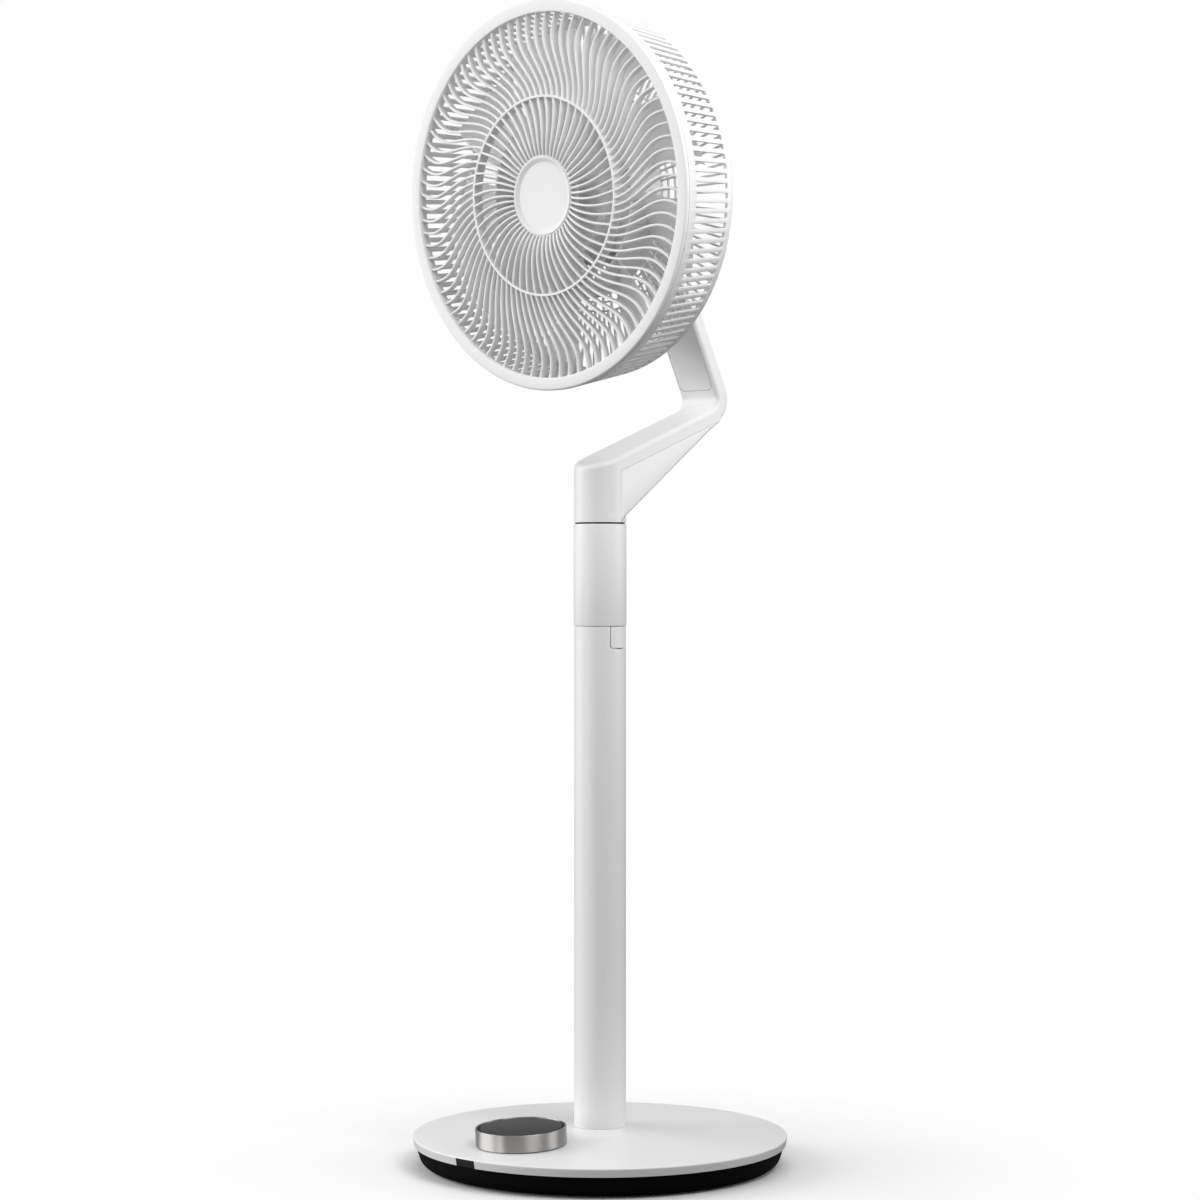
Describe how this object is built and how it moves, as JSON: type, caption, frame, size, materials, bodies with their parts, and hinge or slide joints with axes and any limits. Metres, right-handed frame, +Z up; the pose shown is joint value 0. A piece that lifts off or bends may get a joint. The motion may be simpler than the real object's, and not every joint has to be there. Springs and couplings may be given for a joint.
{
  "type": "floor fan",
  "caption": "Floor fan: round weighted base with a control knob, slim pole, swinging bent neck arm and a tilting round head with S-shaped front ribs and a slotted rear guard.",
  "frame": {"origin": "on the floor, at the centre of the round base under the pole", "axes": "+Z up along the pole, -Y the way the fan blows at rest, +X to the side of the release button"},
  "size_m": [0.3456, 0.34, 1.0447],
  "materials": {
    "white_plastic": "satin white moulded plastic",
    "black_plastic": "satin black moulded plastic",
    "dark_glass": "polished black",
    "brushed_steel": "circular brushed stainless steel",
    "plain_steel": "plain zinc-plated steel",
    "spring_steel": "bright spring steel",
    "bearing_bronze": "sintered bronze",
    "natural_nylon": "natural nylon",
    "black_rubber": "black rubber",
    "circuit_board": "green circuit board"
  },
  "bodies": {
    "stand": {"base_cover": "white_plastic", "sensor_window": "dark_glass", "base_tub": "black_plastic", "dc_inlet": "dark_glass", "ballast_plate": "plain_steel", "rubber_foot_1": "black_rubber", "rubber_foot_2": "black_rubber", "rubber_foot_3": "black_rubber", "rubber_foot_4": "black_rubber", "rubber_foot_5": "black_rubber", "pole_socket": "plain_steel", "knob_encoder": "plain_steel", "control_board": "circuit_board", "lower_pole": "white_plastic", "latch_spring": "spring_steel", "upper_sleeve": "white_plastic", "swing_motor": "plain_steel", "swing_bearing": "bearing_bronze"},
    "knob": {"knob_ring": "brushed_steel", "knob_glass": "dark_glass", "knob_core": "black_plastic"},
    "button": {"release_button": "white_plastic"},
    "pinion": {"swing_pinion": "natural_nylon"},
    "neck": {"neck_arm": "white_plastic", "gusset_cover": "white_plastic", "arm_cover": "white_plastic", "swing_ring_gear": "natural_nylon", "tilt_pin": "plain_steel", "tilt_washer_left": "natural_nylon", "tilt_washer_right": "natural_nylon"},
    "head": {"motor_housing": "white_plastic", "motor_plate": "plain_steel", "motor_stator": "plain_steel", "motor_bearing_front": "plain_steel", "motor_bearing_rear": "plain_steel", "guard_nut": "white_plastic", "rear_guard": "white_plastic", "front_grille": "white_plastic", "hub_cap": "white_plastic"},
    "fan": {"motor_rotor": "plain_steel", "motor_shaft": "plain_steel", "impeller": "white_plastic", "impeller_nut": "white_plastic"}
  },
  "joints": [
    {"name": "neck_swing", "type": "hinge", "parent": "stand", "child": "neck", "pos_m": [0, 0, 0.5823], "axis": [0, 0, 1], "range_deg": [-45, 45]},
    {"name": "pinion_spin", "type": "hinge", "parent": "stand", "child": "pinion", "pos_m": [0, -0.01, 0.57], "axis": [0, 0, 1], "range_deg": [-140, 140]},
    {"name": "head_tilt", "type": "hinge", "parent": "neck", "child": "head", "pos_m": [0, 0.0522, 0.8809], "axis": [-1, 0, 0], "range_deg": [-6, 94]},
    {"name": "fan_spin", "type": "hinge", "parent": "head", "child": "fan", "pos_m": [0, 0.0522, 0.8809], "axis": [0, -0.9975, -0.0706], "continuous": true},
    {"name": "knob_turn", "type": "hinge", "parent": "stand", "child": "knob", "pos_m": [0, -0.1, 0.0315], "axis": [0, -0.0508, 0.9987], "continuous": true},
    {"name": "button_press", "type": "slide", "parent": "stand", "child": "button", "axis": [-1, 0, 0], "range_m": [0, 0.0025], "stiffness_N_per_m": 600}
  ],
  "couplings": [
    {"joint": "pinion_spin", "follows": "neck_swing", "ratio": 3}
  ]
}
